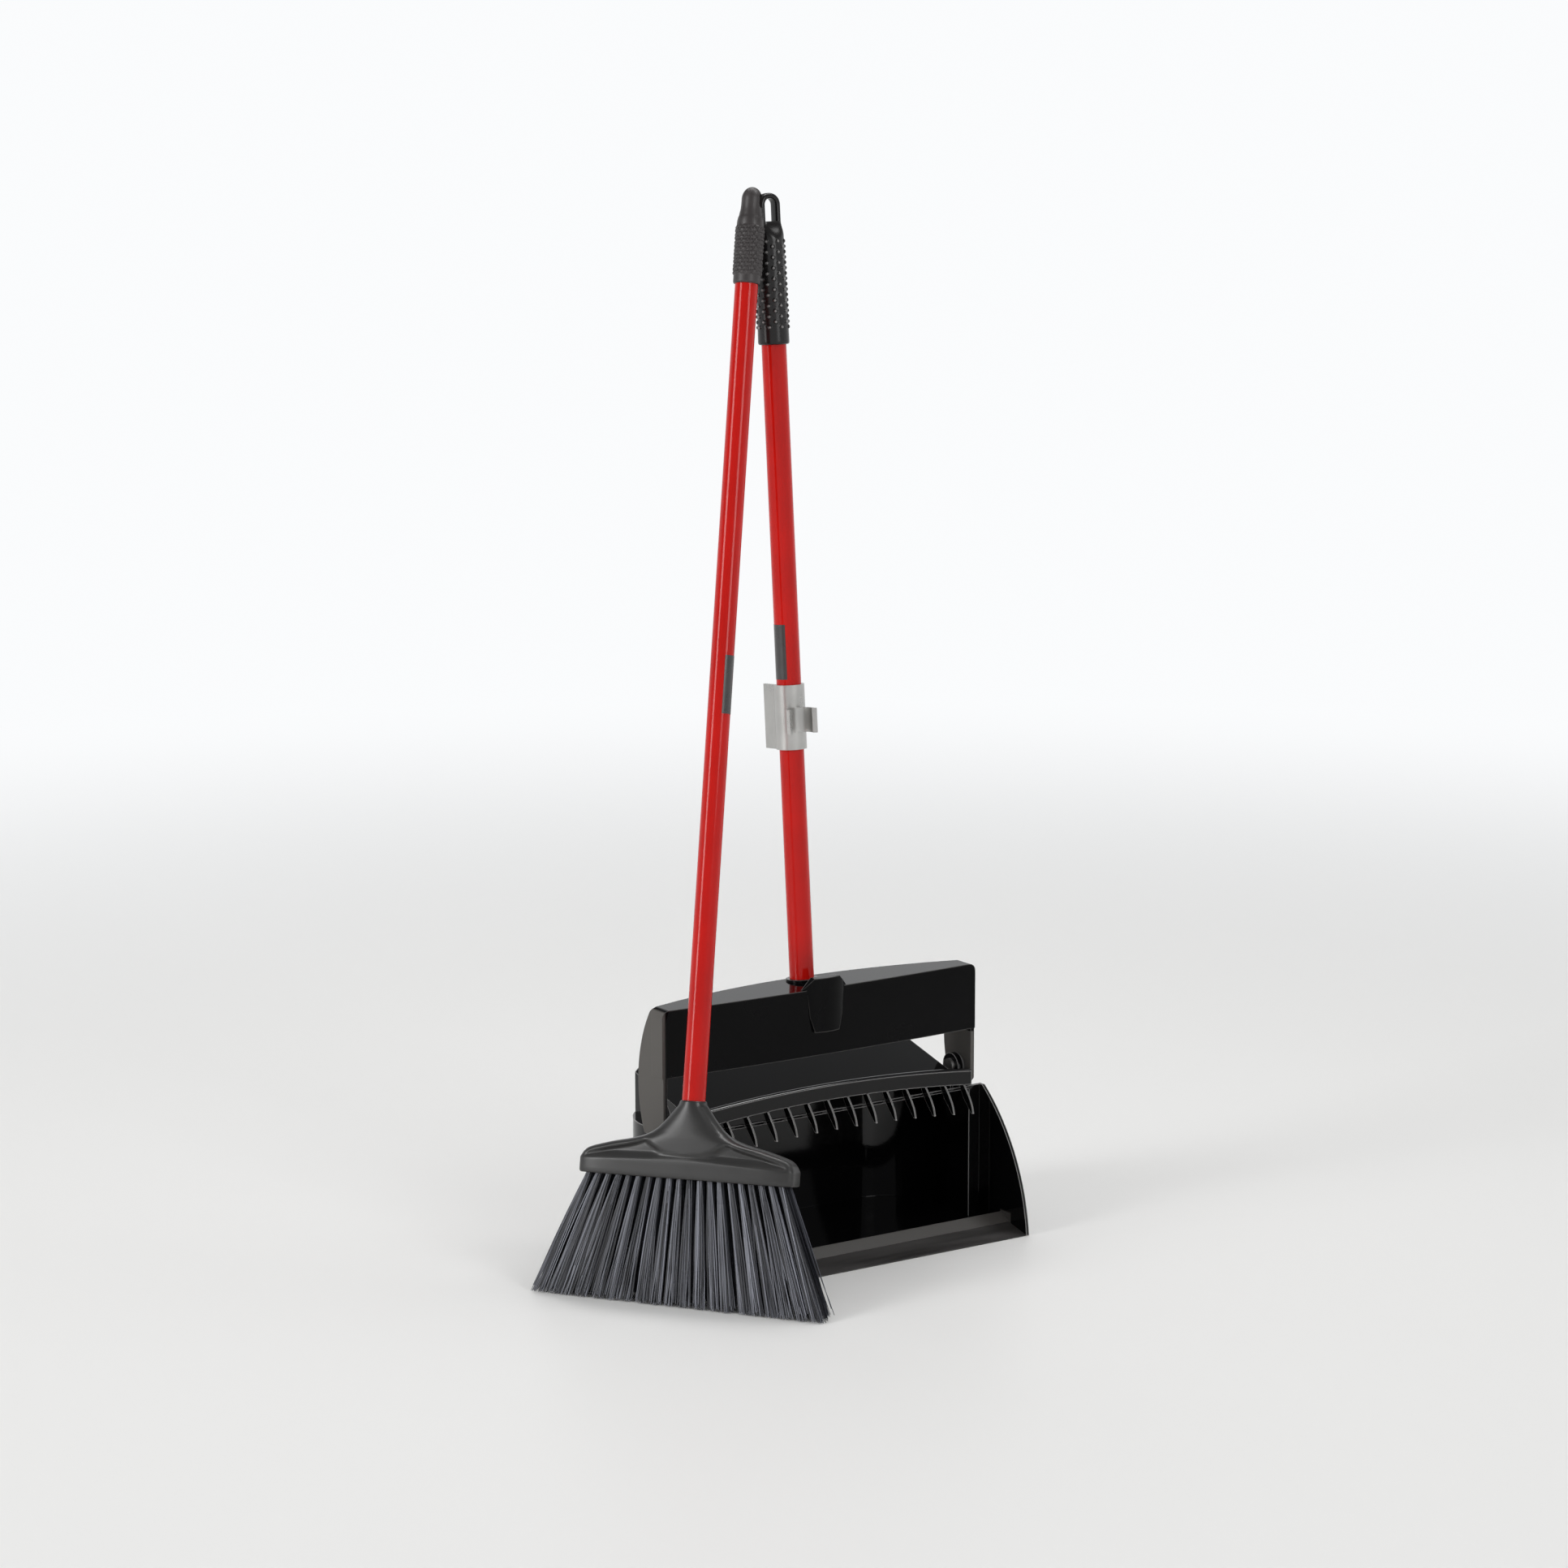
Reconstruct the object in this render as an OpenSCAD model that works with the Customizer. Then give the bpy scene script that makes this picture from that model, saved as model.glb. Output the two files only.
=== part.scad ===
// Lobby broom leaning on its upright dustpan.
// The pan's mouth faces -Y, Z is up and the floor is z = 0. The origin is under the middle of the pan's rim.

/* [Pan] */
// Width of the pan between the yoke arms
pan_w = 324; // [310:1:330]
// Width over the flared mouth
mouth_w = 348; // [344:1:354]
// Wall thickness of the pan
wall = 3; // [2.5:0.1:3.5]
// How far the lip reaches in front of the rim
lip_reach = 70; // [66:1:76]
// Depth of the pan behind the rim
pan_back = 112; // [106:1:120]
// Height of the rim at its corners
rim_z = 127; // [122:1:132]
// How much higher the rim is in the middle
rim_rise = 10.6; // [8:0.2:13]
// Radius of the mouth's curved side edge
mouth_r = 182; // [170:1:200]
// Radius of the pan's rear corners in plan
rear_r = 57; // [45:1:64]
// Height of the header band above the rim
header_h = 13; // [10:0.5:15]
// Thickness of the header band from front to back
header_t = 7; // [5:0.5:8]
// Width of the raised hood
hood_w = 286; // [276:1:290]
// Height of the hood at its rear
hood_z = 167; // [162:1:170]
// Slope of the hood's top in degrees
hood_slope = 14; // [12:0.5:16]
// Rise of the hood's crown over its width
hood_crown = 5; // [4:0.5:6]

/* [Lip and comb] */
// How far the loose lip strip reaches back from its edge
strip_reach = 27; // [24:0.5:30]
// Height of the lip strip where it meets the ramp
strip_z = 7; // [6:0.2:8]
// Height of the ramp's crest
ramp_z = 14; // [12:0.5:16]
// Half length of the ramp's crest from front to back
ramp_run = 12; // [10:0.5:14]
// Number of comb teeth under the rim
tooth_n = 15; // [11:2:15]
// Spacing of the comb teeth
tooth_pitch = 21.5; // [19:0.1:21.6]
// Thickness of a tooth
tooth_t = 1.6; // [1.2:0.1:2]
// Length of a tooth below the rim
tooth_h = 24; // [22:1:26]
// Reach of a tooth in front of the rim
tooth_reach = 15; // [13:0.5:17]
// Width of a tooth at its tip
tooth_tip = 3; // [2.5:0.5:4]

/* [Yoke] */
// Width over the yoke's cap
yoke_w = 338; // [336:1:342]
// Height of the yoke's top
yoke_top = 240; // [236:1:246]
// Height of the front panel
panel_h = 61; // [56:1:66]
// Thickness of the panel and the top
panel_t = 3; // [2.5:0.1:3.5]
// Front face of the panel at its ends, behind the rim
panel_y = 9; // [8.5:0.5:11]
// How far the panel bows forward in the middle
panel_bow = 5; // [3:0.5:6]
// Depth of the yoke's top at its ends
top_d = 18; // [16:0.5:22]
// Extra depth of the top in the middle
top_bow = 27; // [24:1:28]
// Radius of the yoke's upper corners
corner_r = 7; // [5:0.5:8]
// Thickness of an arm
arm_t = 4; // [3.5:0.1:4.4]
// Radius of the arm's curved rear edge
arm_r = 118; // [112:1:126]
// Rearmost point of the arm
arm_back = 51; // [48:0.5:54]
// Lower end of the arms
arm_z = 124; // [121:0.5:126]

/* [Pivot] */
// Pivot's place behind the rim
pivot_y = 29; // [27:0.5:31]
// Pivot's height
pivot_z = 141; // [140:0.5:144]
// Diameter of the pivot pins
pin_d = 8; // [7:0.5:9]
// Radial running clearance of the pins
run_gap = 0.06; // [0.04:0.01:0.08]
// Thickness of the pan's pivot ears
ear_t = 6; // [5:0.5:7]
// Radius of the ears and washers round the pin
ear_r = 12; // [11:0.5:13]
// Diameter of a pin's head
pin_head_d = 14; // [13:0.5:15]
// Thickness of a pin's head
pin_head_t = 3; // [2.5:0.5:3.5]
// How deep a pin is pressed into its arm
pin_grip = 2.6; // [2:0.1:2.8]
// Gap between faces that turn on each other
face_gap = 0.15; // [0.1:0.05:0.2]

/* [Pan handle] */
// Outside diameter of the pan's handle tube
pan_tube_d = 22.2; // [21:0.1:24]
// Wall of both tubes
tube_wall = 1.2; // [0.9:0.1:1.6]
// Lean of the handle backwards in degrees
handle_lean = 4.42; // [3.5:0.1:5.5]
// Handle's axis behind the rim, at the yoke's top
handle_y = 42; // [40:0.5:44]
// Length of the handle above the yoke's top
handle_len = 703; // [680:1:730]
// Length of the pan's grip
pan_grip_len = 133; // [120:1:145]
// Diameter of the pan's grip at its lower end
pan_grip_d = 28; // [26:0.2:29]
// Length of the hanging loop above the grip's body
loop_h = 39; // [36:1:44]
// Width of that loop
pan_loop_w = 21; // [20:0.5:22]
// Thickness of that loop
pan_loop_t = 11; // [10:0.5:12]
// Width of the slot in that loop
pan_slot = 11; // [10:0.5:12]
// Depth of the socket below the yoke's top
socket_h = 46; // [42:1:52]
// Wall of the socket
socket_wall = 3.4; // [3:0.1:4]
// Height of the collar ring above the yoke's top
collar_h = 2; // [1.5:0.5:3]
// Height of the front boss above the yoke's top
boss_h = 10.5; // [8:0.5:12]
// Width of the front boss at the yoke's top
boss_w = 48; // [44:1:52]
// Radius of the front boss's rounded face
boss_r = 40; // [36:1:46]
// How far the front boss stands out of the panel
boss_out = 5; // [3.5:0.5:6]
// Diameter of the screw that holds the tube
screw_d = 4; // [3.5:0.1:4.5]

/* [Broom clip] */
// Lower end of the clip above the yoke's top
clip_at = 210; // [180:1:260]
// Length of the clip's sleeve
clip_h = 58; // [50:1:66]
// Wall of the clip
clip_wall = 2.6; // [2.2:0.1:3]
// Height of the clip's hook band
hook_h = 22; // [18:1:26]
// Lower end of the hook above the sleeve's lower end
hook_at = 16; // [12:1:20]
// Opening of the sleeve in degrees
sleeve_open = 90; // [80:5:100]
// Length of the sleeve's rear wings
wing_len = 16; // [13:0.5:18]
// Opening of the hook in degrees
hook_open = 150; // [140:5:160]
// Direction of the hook from straight ahead in degrees
hook_dir = -12; // [-20:1:0]
// Length of the hook's out-turned edges
clip_lip = 4; // [3:0.5:5]

/* [Broom] */
// Middle of the head's underside, out from the mouth's side
broom_side = 6; // [6:0.1:8]
// Middle of the head's underside, in front of the rim
broom_front = 50.6; // [50.4:0.1:52]
// Broom's axis left of the pan handle's axis where they meet
rest_x = 22.95; // [22.9:0.05:24]
// Broom's axis in front of the pan handle's axis where they meet
rest_y = 7.27; // [7.2:0.05:8]
// Where they meet, below the top of the pan's handle
rest_at = 20; // [18:1:22]
// Turn of the broom about its own axis
broom_turn = 5; // [4:0.5:7]
// Length of the broom over all
broom_len = 977; // [972:1:979]
// Height of the head's underside above the floor
bristle_h = 108; // [104:1:110]
// Height of the head
head_h = 68; // [64:0.5:72]
// Width of the head
head_w = 199; // [198:1:206]
// Depth of the head's skirt
head_d = 32; // [30:0.5:34]
// Height of the skirt
skirt_h = 13; // [11:0.5:15]
// Diameter of the head's neck
neck_d = 23; // [22:0.5:26]
// Outside diameter of the broom's tube
broom_tube_d = 20.4; // [19.6:0.1:21]
// Length of the broom's grip
broom_grip_len = 86; // [80:1:94]
// Diameter of the broom's grip
broom_grip_d = 24.4; // [23.6:0.1:24.8]
// Height of the cone above the broom grip's body
grip_cone = 8; // [7:0.5:9]
// Height of the broom grip's loop
broom_loop_h = 24; // [22:0.5:26]
// Thickness of the broom grip's loop
broom_loop_t = 18; // [16:0.5:19]
// Width of the slot in the broom grip's loop
broom_slot = 7; // [6:0.5:8]
// Diameter of the threaded tip where it screws in
thread_d = 16; // [14:0.5:17]
// Length of thread in the head
thread_len = 34; // [30:1:38]
// Length of the tip inside the tube
tip_len = 30; // [26:1:36]
// Diameter of the pin that locks the tip
lock_d = 3; // [2.5:0.1:3.5]

/* [Bristles] */
// Rows of bristles
row_n = 4; // [3:1:4]
// Strands in a row
strand_n = 100; // [80:5:120]
// Tufts in a row
tuft_n = 20; // [16:1:24]
// Spacing of the rows
row_pitch = 6.4; // [6:0.1:6.6]
// Length of a row at its backing
row_w = 186; // [180:1:187]
// Thickness of the backing slice
backing_t = 3; // [2.5:0.1:3.5]
// Thickness of a strand
strand_d = 1.5; // [1.2:0.1:1.6]
// Spread of the tips across the broom
flare_x = 1.48; // [1.4:0.02:1.5]
// Spread of the tips from front to back
flare_y = 1.04; // [1:0.01:1.06]

/* [Hidden] */
$fn = 96;

over = 1;
big = 600;
side_gap = 0.3;
press_gap = 0.02;
snap_gap = 0.08;
// Room round a pivot pin's head
head_room = 1;
half_pan = pan_w / 2;
half_mouth = mouth_w / 2;
half_hood = hood_w / 2;
half_yoke = yoke_w / 2;
// The arms stand clear of the pan by a washer and its two face gaps
washer_t = 1.8;
arm_in = half_pan + washer_t + 2 * face_gap;
arm_out = arm_in + arm_t;
// The mouth's side edge is an arc through the lip and the rim
chord = sqrt(lip_reach * lip_reach + rim_z * rim_z);
arc_reach = sqrt(mouth_r * mouth_r - chord * chord / 4);
mouth_cy = -lip_reach / 2 + arc_reach * rim_z / chord;
mouth_cz = rim_z / 2 - arc_reach * lip_reach / chord;
// The rim's arch is a flat arc over the mouth's width
arch_r = (half_mouth * half_mouth + rim_rise * rim_rise) / (2 * rim_rise);
function arch(x) = sqrt(arch_r * arch_r - x * x) - arch_r + rim_rise;
mouth_step = header_t;
// The hood's crown is a flat arc over the hood's width
crown_r = (half_hood * half_hood + hood_crown * hood_crown) / (2 * hood_crown);
strip_y = strip_reach - lip_reach;
// Bowed outline of the yoke in plan
front_r = (half_yoke * half_yoke + panel_bow * panel_bow) / (2 * panel_bow);
rear_bow_r = (half_yoke * half_yoke + top_bow * top_bow) / (2 * top_bow);
panel_z = yoke_top - panel_h;
cap_h = 30;
fold_h = 14;
arm_mid_z = 170;
// Handle and grip stations along the tube's axis, from the yoke's top
pan_grip_at = handle_len - pan_grip_len;
pan_tube_top = handle_len - loop_h - 2;
pan_tube_foot = 4 - socket_h;
screw_at = -22;
// Broom stations along its own axis, from the floor
head_top = bristle_h + head_h;
skirt_top = bristle_h + skirt_h;
broom_grip_at = broom_len - broom_grip_len;
broom_cone_at = broom_len - broom_loop_h - grip_cone;
broom_tube_top = broom_cone_at - 2;
pocket_side = 1;
// The broom leans from its head beside the mouth to its rest by the pan's grip
rest_t = handle_len - rest_at;
rest_z = yoke_top + rest_t * cos(handle_lean);
lean_x = half_mouth + broom_side - rest_x;
lean_y = broom_front + handle_y + rest_t * sin(handle_lean) - rest_y;
lean_run = sqrt(lean_x * lean_x + lean_y * lean_y);
lean_dir = atan2(lean_y, lean_x);
broom_lean = atan(lean_run / (rest_z - bristle_h * cos(atan(lean_run / (rest_z - bristle_h)))));
broom_x = -half_mouth - broom_side - bristle_h * sin(broom_lean) * cos(lean_dir);
broom_y = -broom_front - bristle_h * sin(broom_lean) * sin(lean_dir);
// World height of a point in the broom's frame, as the weight of each axis
up_x = sin(broom_turn) * sin(broom_lean);
up_y = -cos(broom_turn) * sin(broom_lean);
up_z = cos(broom_lean);

pan_black = [0.06, 0.06, 0.065];
grip_black = [0.14, 0.13, 0.135];
head_grey = [0.17, 0.17, 0.175];
handle_red = [0.8, 0.05, 0.04];
clip_grey = [0.66, 0.66, 0.65];
steel = [0.7, 0.7, 0.72];
bristle_blue = [0.17, 0.18, 0.22];

// A flat outline in Y and Z, extruded along X and centred on x
module across(width, x = 0) {
  translate([x - width / 2, 0, 0]) rotate([90, 0, 90]) linear_extrude(width) children();
}

// Plan outline of the pan behind the rim, with round rear corners
module pan_plan(inset) {
  half = half_pan - inset;
  back = pan_back - inset;
  r = rear_r - inset;
  translate([-half, 0]) square([2 * half, back - r]);
  translate([r - half, 0]) square([2 * (half - r), back]);
  for (s = [-1, 1]) translate([s * (half - r), back - r]) circle(r);
}

// Side outline of the mouth, in front of the step or of the step's rear wall
module mouth_side(inset, front = 0, rear = 0) {
  intersection() {
    translate([mouth_cy, mouth_cz]) circle(mouth_r + front);
    translate([-lip_reach - over, inset]) square([lip_reach + over + mouth_step - rear, rim_z - inset]);
  }
}

// The header is a flat arch along the rim
module header_band() {
  translate([0, header_t, 0]) rotate([90, 0, 0]) linear_extrude(header_t) intersection() {
    translate([0, rim_z + rim_rise - arch_r]) difference() {
      circle(arch_r + header_h, $fn = 256);
      circle(arch_r, $fn = 256);
    }
    translate([-half_pan + wall, 0]) square([pan_w - 2 * wall, hood_z]);
  }
}

// The hood stands under a shallow crown that slopes down to the front, for a wall inset inside it
module hood_block(inset) {
  intersection() {
    translate([0, 0, wall]) linear_extrude(hood_z + hood_crown) intersection() {
      pan_plan(inset);
      translate([inset - half_hood, header_t]) square([hood_w - 2 * inset, pan_back]);
    }
    translate([0, pan_back / 2, hood_z - pan_back / 2 * tan(hood_slope)]) rotate([hood_slope, 0, 0])
      translate([0, -big, hood_crown - crown_r]) rotate([-90, 0, 0])
        cylinder(h = 2 * big, r = crown_r - inset, $fn = 720);
  }
}

// A comb tooth curves forward and down from the header
module comb_tooth(x) {
  front = [[-0.3, -0.19], [-0.55, -0.38], [-0.76, -0.58], [-0.89, -0.74], [-1, -1]];
  translate([0, 0, rim_z + arch(x)]) across(tooth_t, x)
    polygon(concat([[over / 2, over]], [for (q = front) [q[0] * tooth_reach, q[1] * tooth_h]],
      [[tooth_tip - tooth_reach, -tooth_h], [0, -tooth_h / 2], [header_t - over, -tooth_h / 8],
      [header_t - over, over]]));
}

module pivot_ear(s) {
  x = s * (half_pan - ear_t / 2);
  across(ear_t, x) {
    translate([pivot_y, pivot_z]) circle(ear_r);
    translate([pivot_y - ear_r, rim_z - 2 * wall]) square([2 * ear_r, pivot_z - rim_z + 2 * wall]);
  }
}

module pan_tray() {
  color(pan_black) difference() {
    union() {
      difference() {
        union() {
          linear_extrude(rim_z) pan_plan(0);
          across(mouth_w) mouth_side(0);
          hood_block(0);
        }
        translate([0, 0, wall]) linear_extrude(rim_z - 2 * wall) pan_plan(wall);
        hood_block(wall);
        across(mouth_w - 2 * wall) mouth_side(wall, over, wall);
        translate([-half_mouth - over, -big - header_t, rim_z - wall]) cube([mouth_w + 2 * over, big, wall + over]);
        translate([wall - half_mouth, -lip_reach - over, -over])
          cube([mouth_w - 2 * wall, strip_reach + over, wall + 2 * over]);
        translate([wall - half_mouth, -lip_reach, rim_z - wall - over])
          cube([mouth_w - 2 * wall, lip_reach + wall, wall + 2 * over]);
      }
      across(mouth_w - 2 * wall + over)
        polygon([[strip_y, 0], [strip_y, strip_z], [strip_y + ramp_run, ramp_z],
          [strip_y + 2 * ramp_run, wall], [strip_y + 2 * ramp_run, 0]]);
      header_band();
      for (i = [0 : tooth_n - 1]) {
        comb_tooth((i - (tooth_n - 1) / 2) * tooth_pitch);
      }
      for (s = [-1, 1]) pivot_ear(s);
    }
    for (s = [-1, 1]) translate([s * (half_pan - ear_t), pivot_y, pivot_z]) rotate([0, s * 90, 0]) {
      translate([0, 0, -over]) cylinder(h = ear_t + 2 * over, d = pin_d + 2 * run_gap);
      translate([0, 0, -pin_head_t - head_room]) cylinder(h = pin_head_t + head_room - face_gap / 2,
        d = pin_head_d + 2 * head_room);
    }
  }
}

module lip_strip() {
  edge_t = 1;
  color(pan_black) across(mouth_w - 2 * wall - side_gap)
    polygon([[-lip_reach, 0], [-lip_reach, edge_t], [strip_y, strip_z], [strip_y, 0]]);
}

// Plan outline of the yoke's cap, bowed at the front and the rear
module yoke_plan(inset) {
  intersection() {
    translate([0, panel_y - panel_bow + front_r]) circle(front_r - inset, $fn = 256);
    translate([0, panel_y + top_d + top_bow - rear_bow_r]) circle(rear_bow_r - inset, $fn = 256);
    translate([inset - half_yoke, 0]) square([yoke_w - 2 * inset, pan_back]);
  }
}

// An arm is a plate with a curved rear edge and a clipped lower front corner
module yoke_arm(s) {
  clip = 8;
  across(arm_t, s * (arm_in + arm_t / 2)) intersection() {
    translate([arm_back - arm_r, arm_mid_z]) circle(arm_r);
    polygon([[panel_y, yoke_top], [panel_y, arm_z + clip], [panel_y + clip, arm_z], [arm_back, arm_z],
      [arm_back, yoke_top - clip], [panel_y + top_d + clip, yoke_top]]);
  }
}

// A shoulder carries the arm in to the end of the panel and the cap
module yoke_shoulder(s) {
  near = min(half_yoke - panel_t, arm_in);
  across(arm_out - near, s * (arm_out + near) / 2)
    polygon([[panel_y, panel_z], [panel_y + panel_t, panel_z], [panel_y + panel_t, yoke_top - panel_t],
      [panel_y + top_d, yoke_top - panel_t], [panel_y + top_d, yoke_top], [panel_y, yoke_top]]);
}

// What a rounded upper corner takes off the yoke
module yoke_corner(s) {
  far = corner_r + over;
  translate([s * (half_yoke - corner_r), big / 2, yoke_top - corner_r]) rotate([90, 0, 0]) linear_extrude(big)
    difference() {
      translate([s > 0 ? 0 : -far, 0]) square(far);
      circle(corner_r);
    }
}

module on_handle(t = 0) {
  translate([0, handle_y, yoke_top]) rotate([-handle_lean, 0, 0]) translate([0, 0, t]) children();
}

// A rounded boss on the panel rises past the yoke's top in front of the tube
module front_boss() {
  foot = panel_z + 0.36 * panel_h;
  face = panel_y - panel_bow;
  intersection() {
    translate([0, face + panel_t + over, 0]) rotate([90, 0, 0]) linear_extrude(boss_out + panel_t + 2 * over)
      polygon([for (q = [[-0.27, foot], [0.27, foot], [0.36, foot + 0.23 * panel_h], [0.4, yoke_top - 4], [0.5, yoke_top],
        [0.28, yoke_top + boss_h], [-0.28, yoke_top + boss_h], [-0.5, yoke_top], [-0.4, yoke_top - 4],
        [-0.36, foot + 0.23 * panel_h]]) [q[0] * boss_w, q[1]]]);
    translate([0, face - boss_out + boss_r, foot - over]) cylinder(h = big, r = boss_r);
  }
}

module yoke() {
  socket_r = pan_tube_d / 2 + socket_wall;
  rib_t = 2.4;
  rib_x = 96;
  color(pan_black) difference() {
    union() {
      difference() {
        translate([0, 0, panel_z]) linear_extrude(panel_h) yoke_plan(0);
        translate([0, 0, panel_z - over]) linear_extrude(panel_h - panel_t + over) yoke_plan(panel_t);
        translate([-half_yoke + panel_t, panel_y + panel_t, panel_z - over])
          cube([yoke_w - 2 * panel_t, pan_back, panel_h - fold_h + over]);
      }
      for (s = [-1, 1]) {
        yoke_arm(s);
        yoke_shoulder(s);
      }
      for (x = [-rib_x, 0, rib_x]) translate([x - rib_t / 2, panel_y, panel_z + 6])
        cube([rib_t, x == 0 ? handle_y - panel_y : top_d - panel_t, panel_h - 8]);
      on_handle(-socket_h) cylinder(h = socket_h + collar_h, r = socket_r);
      front_boss();
    }
    for (s = [-1, 1]) yoke_corner(s);
    on_handle(pan_tube_foot) cylinder(h = socket_h + 2 * collar_h, d = pan_tube_d + 2 * press_gap);
    on_handle(screw_at) rotate([-90, 0, 0]) cylinder(h = 2 * socket_r, d = screw_d + 2 * press_gap);
    for (s = [-1, 1]) translate([s * arm_in, pivot_y, pivot_z]) rotate([0, s * 90, 0])
      translate([0, 0, -over]) cylinder(h = pin_grip + over, d = pin_d + 2 * press_gap);
  }
}

// A stub pin is pressed into the arm, runs in the ear and has its head inside
module pivot_pin(s) {
  ear_in = half_pan - ear_t;
  head_x = ear_in - face_gap - pin_head_t;
  shank = arm_in + pin_grip - head_x;
  color(steel) translate([s * head_x, pivot_y, pivot_z]) rotate([0, s * 90, 0]) {
    cylinder(h = pin_head_t, d = pin_head_d);
    cylinder(h = shank, d = pin_d);
  }
}

module pivot_pin_left() { pivot_pin(-1); }
module pivot_pin_right() { pivot_pin(1); }

module friction_washer(s) {
  color("dimgray") translate([s * (half_pan + face_gap), pivot_y, pivot_z]) rotate([0, s * 90, 0]) difference() {
    cylinder(h = washer_t + face_gap, r = ear_r - 1);
    translate([0, 0, -over]) cylinder(h = washer_t + 2 * over, d = pin_d + 2 * run_gap);
  }
}

module friction_washer_left() { friction_washer(-1); }
module friction_washer_right() { friction_washer(1); }

module pan_tube() {
  color(handle_red) on_handle() difference() {
    translate([0, 0, pan_tube_foot]) cylinder(h = pan_tube_top - pan_tube_foot, d = pan_tube_d);
    translate([0, 0, pan_tube_foot - over])
      cylinder(h = pan_tube_top - pan_tube_foot + 2 * over, d = pan_tube_d - 2 * tube_wall);
    translate([0, 0, screw_at]) rotate([-90, 0, 0]) cylinder(h = pan_tube_d, d = screw_d + 2 * press_gap);
  }
}

module tube_screw() {
  head_d = 2 * screw_d;
  head_t = 2.4;
  inner = pan_tube_d / 2 - tube_wall - 4;
  seat = pan_tube_d / 2 + socket_wall;
  color(steel) on_handle(screw_at) rotate([-90, 0, 0]) {
    translate([0, 0, inner]) cylinder(h = seat + head_t - inner, d = screw_d);
    translate([0, 0, seat]) cylinder(h = head_t, d = head_d);
  }
}

// Flat hanging loop with a long slot, standing on a grip's top
module hang_loop(width, depth, height, slot_w, round_r) {
  r = width / 2;
  bar = (width - slot_w) / 2;
  intersection() {
    translate([0, depth / 2, 0]) rotate([90, 0, 0]) linear_extrude(depth) difference() {
      union() {
        translate([-r, -over]) square([width, height - r + over]);
        translate([0, height - r]) circle(r);
      }
      translate([-slot_w / 2, bar + slot_w / 2]) square([slot_w, height - 2 * bar - slot_w]);
      for (z = [bar + slot_w / 2, height - bar - slot_w / 2]) translate([0, z]) circle(slot_w / 2);
    }
    translate([0, 0, -over]) cylinder(h = height + 2 * over, r = round_r);
  }
}

module pan_grip() {
  body_h = pan_grip_len - loop_h;
  top_d2 = pan_grip_d - 2;
  color(grip_black) on_handle(pan_grip_at) difference() {
    union() {
      cylinder(h = body_h, d1 = pan_grip_d, d2 = top_d2);
      translate([0, 0, body_h - over]) hang_loop(pan_loop_w, pan_loop_t, loop_h + over, pan_slot, pan_loop_w / 2 + over);
    }
    translate([0, 0, -over])
      cylinder(h = pan_tube_top - pan_grip_at + over, d = pan_tube_d + 2 * press_gap);
  }
}

// Flat ring with a wedge of it left open in one direction
module open_ring(r_in, r_out, gap, dir) {
  reach = 2 * r_out;
  difference() {
    circle(r_out);
    circle(r_in);
    rotate(dir) polygon([[0, 0], reach * [cos(gap / 2), -sin(gap / 2)], [2 * reach, 0],
      reach * [cos(gap / 2), sin(gap / 2)]]);
  }
}

// A spring sleeve with two rear wings carries an open hook for the broom's tube
module broom_clip() {
  sleeve_in = pan_tube_d / 2 + snap_gap;
  sleeve_out = sleeve_in + clip_wall;
  hook_in = broom_tube_d / 2;
  hook_out = hook_in + clip_wall;
  hook_y = -(sleeve_out + hook_out - clip_wall / 2);
  neck_w = 9;
  edge = sleeve_in + 0.6 * clip_wall;
  color(clip_grey) on_handle(clip_at) {
    linear_extrude(clip_h) {
      open_ring(sleeve_in, sleeve_out, sleeve_open, 90);
      for (s = [-1, 1]) translate(edge * [s * sin(sleeve_open / 2), cos(sleeve_open / 2)]) rotate(-s * 4)
        translate([-clip_wall / 2, -over / 2]) square([clip_wall, wing_len]);
    }
    rotate([0, 0, hook_dir]) translate([0, 0, hook_at]) linear_extrude(hook_h) difference() {
      union() {
        translate([0, hook_y]) open_ring(hook_in, hook_out, hook_open, 270);
        for (s = [-1, 1]) translate([0, hook_y]) rotate(270 + s * hook_open / 2) translate([hook_in + over / 2, 0])
          rotate(-s * 20) translate([0, -clip_wall / 2]) square([clip_lip, clip_wall]);
        translate([-neck_w / 2, hook_y + hook_in + clip_wall / 2]) square([neck_w, clip_wall]);
      }
      circle(sleeve_in + clip_wall / 2);
    }
  }
}

module on_broom(t = 0) {
  translate([broom_x, broom_y, 0]) rotate([0, 0, lean_dir - 90]) rotate([-broom_lean, 0, 0])
    rotate([0, 0, -broom_turn]) translate([0, 0, t]) children();
}

// Front outline of the head above its skirt: a bell from the skirt's ends up to the neck
module head_front() {
  bell = head_h - skirt_h;
  edge = [[0.5, -over / bell], [0.497, 0.018], [0.487, 0.092], [0.47, 0.156], [0.44, 0.202], [0.35, 0.294],
    [0.265, 0.358], [0.215, 0.413], [0.18, 0.477], [0.15, 0.56], [0.115, 0.697], [0.085, 0.835], [0.062, 0.936],
    [neck_d / 2 / head_w, 1]];
  n = len(edge);
  polygon([for (i = [0 : 2 * n - 1]) let (q = edge[i < n ? i : 2 * n - 1 - i])
    [(i < n ? 1 : -1) * q[0] * head_w, q[1] * bell]]);
}

// Side outline of the head: full depth at the skirt, drawn in to the neck
module head_side() {
  half = head_d / 2;
  neck = neck_d / 2 + 1;
  bell = head_h - skirt_h;
  swell = neck + head_d / 8;
  polygon([[-half, -over], [half, -over], [0.94 * half, 0.092 * bell], [swell, 0.4 * bell], [neck, bell],
    [-neck, bell], [-swell, 0.4 * bell], [-0.94 * half, 0.092 * bell]]);
}

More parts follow.
